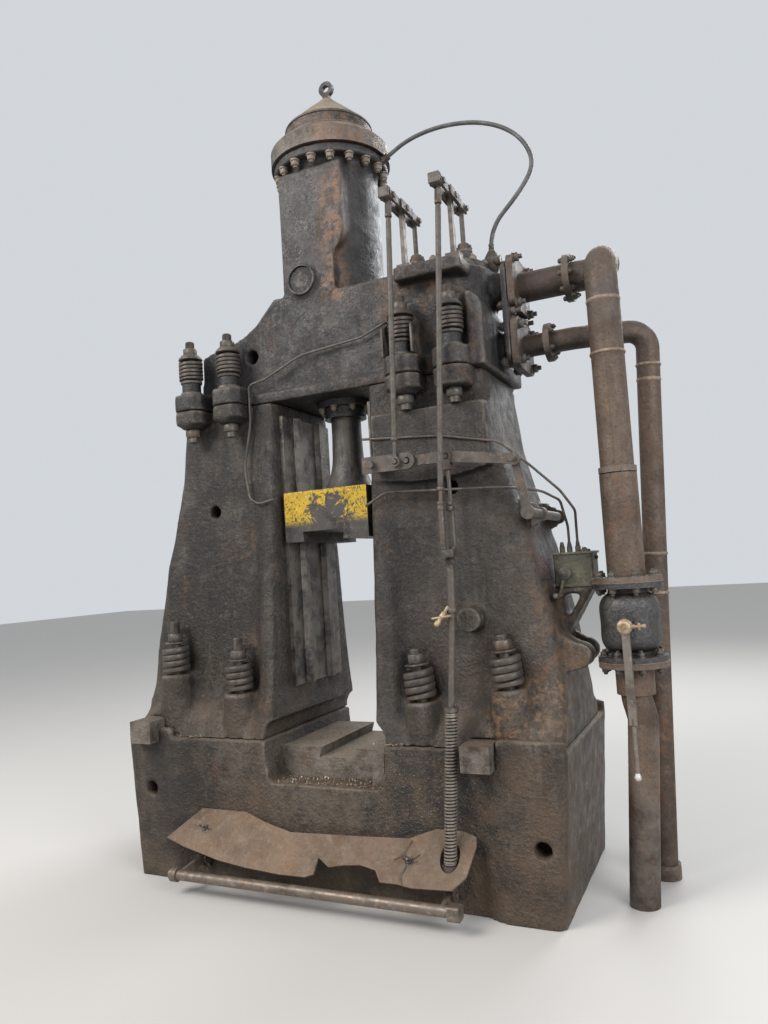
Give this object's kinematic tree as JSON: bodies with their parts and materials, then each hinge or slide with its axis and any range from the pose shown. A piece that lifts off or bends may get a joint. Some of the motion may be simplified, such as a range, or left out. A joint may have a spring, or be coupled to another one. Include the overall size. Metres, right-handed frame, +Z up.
{
  "type": "forging hammer",
  "caption": "Steam or air die forging hammer: anvil with die holder, columns on sprung bolts, ram on guides, head cylinder, treadle valve gear and a stop valve.",
  "frame": {"origin": "centre of the anvil's bottom face, at floor level", "axes": "+X to the operator's right, +Y to the back, +Z up"},
  "size_m": [2.7681, 1.188, 4.216],
  "materials": {
    "castings": "matte",
    "anvil": "matte",
    "ram_steel": "matte",
    "springs": "matte",
    "fasteners": "satin",
    "rods": "satin",
    "pipes": "matte",
    "flanges": "satin",
    "rubber": "matte",
    "treadle_steel": "satin"
  },
  "bodies": {
    "frame": {"anvil_block": "anvil", "sow_block": "anvil", "die_wedge": "anvil", "left_column": "castings", "right_column": "castings", "left_guide": "castings", "right_guide": "castings", "cylinder_block": "castings", "cylinder_cover": "castings", "lifting_eye": "fasteners", "rod_gland": "castings", "foot_springs": "springs", "foot_bolts": "fasteners", "head_springs": "springs", "head_bolts": "fasteners", "spring_hoods": "castings", "chest_cover": "castings", "rocker_fulcrums": "castings", "bar_bracket": "castings", "cross_shaft": "castings", "treadle_brackets": "treadle_steel", "treadle_cover": "treadle_steel", "spring_seat": "treadle_steel", "column_keys": "anvil", "inlet_pipe": "pipes", "stop_valve_body": "flanges", "supply_pipe": "pipes", "exhaust_pipe": "pipes", "lubricator": "flanges", "oil_pipes": "rods", "hose_fittings": "rods", "hose": "rubber"},
    "hammer_head": {"ram": "ram_steel", "piston": "rods"},
    "treadle": {"treadle": "treadle_steel"},
    "pull_rod": {"pull_rod": "rods", "return_spring": "springs"},
    "floating_lever": {"floating_lever": "rods"},
    "short_bar": {"short_bar": "rods"},
    "slide_pull_rod": {"slide_pull_rod": "rods"},
    "slide_rocker": {"slide_rocker": "rods"},
    "slide_valve_stem": {"slide_valve_stem": "rods"},
    "throttle_rocker": {"throttle_rocker": "rods"},
    "throttle_valve_stem": {"throttle_valve_stem": "rods"},
    "stop_valve_lever": {"stop_valve_lever": "flanges"}
  },
  "joints": [
    {"name": "ram_slide", "type": "slide", "parent": "frame", "child": "hammer_head", "axis": [0, 0, 1], "range_m": [-0.77, 0.13]},
    {"name": "treadle_hinge", "type": "hinge", "parent": "frame", "child": "treadle", "pos_m": [0, -0.48, 0.115], "axis": [1, 0, 0], "range_deg": [0, 17], "stiffness_Nm_per_rad": 150, "springref_deg": -25.78},
    {"name": "pull_rod_slide", "type": "slide", "parent": "frame", "child": "pull_rod", "axis": [0, 0, 1], "range_m": [-0.01967, 0], "deforming": ["return_spring"]},
    {"name": "floating_lever_hinge", "type": "hinge", "parent": "frame", "child": "floating_lever", "pos_m": [1.02, -0.43, 1.935], "axis": [0, 1, 0], "range_deg": [-3.69, 0]},
    {"name": "short_bar_hinge", "type": "hinge", "parent": "frame", "child": "short_bar", "pos_m": [0.355, -0.45, 1.98], "axis": [0, 1, 0], "range_deg": [0, 10.35]},
    {"name": "slide_pull_rod_slide", "type": "slide", "parent": "frame", "child": "slide_pull_rod", "axis": [0, 0, 1], "range_m": [-0.02257, 0]},
    {"name": "slide_rocker_hinge", "type": "hinge", "parent": "frame", "child": "slide_rocker", "pos_m": [0.52, -0.29, 3.23], "axis": [1, 0, 0], "range_deg": [0, 8.08]},
    {"name": "slide_stem_slide", "type": "slide", "parent": "frame", "child": "slide_valve_stem", "axis": [0, 0, 1], "range_m": [0, 0.02257]},
    {"name": "throttle_rocker_hinge", "type": "hinge", "parent": "frame", "child": "throttle_rocker", "pos_m": [0.77, -0.29, 3.23], "axis": [1, 0, 0], "range_deg": [0, 7.04]},
    {"name": "throttle_stem_slide", "type": "slide", "parent": "frame", "child": "throttle_valve_stem", "axis": [0, 0, 1], "range_m": [0, 0.01967]},
    {"name": "stop_valve_lever_hinge", "type": "hinge", "parent": "frame", "child": "stop_valve_lever", "pos_m": [1.412, -0.357, 1.2], "axis": [0, -1, 0], "range_deg": [0, 90]}
  ],
  "couplings": [
    {"joint": "pull_rod_slide", "follows": "treadle_hinge", "m_per_rad": -0.065},
    {"joint": "floating_lever_hinge", "follows": "treadle_hinge", "ratio": -0.21311},
    {"joint": "short_bar_hinge", "follows": "treadle_hinge", "ratio": 0.59672},
    {"joint": "slide_pull_rod_slide", "follows": "treadle_hinge", "m_per_rad": -0.07459},
    {"joint": "slide_rocker_hinge", "follows": "treadle_hinge", "ratio": 0.46619},
    {"joint": "slide_stem_slide", "follows": "treadle_hinge", "m_per_rad": 0.07459},
    {"joint": "throttle_rocker_hinge", "follows": "treadle_hinge", "ratio": 0.40625},
    {"joint": "throttle_stem_slide", "follows": "treadle_hinge", "m_per_rad": 0.065}
  ]
}
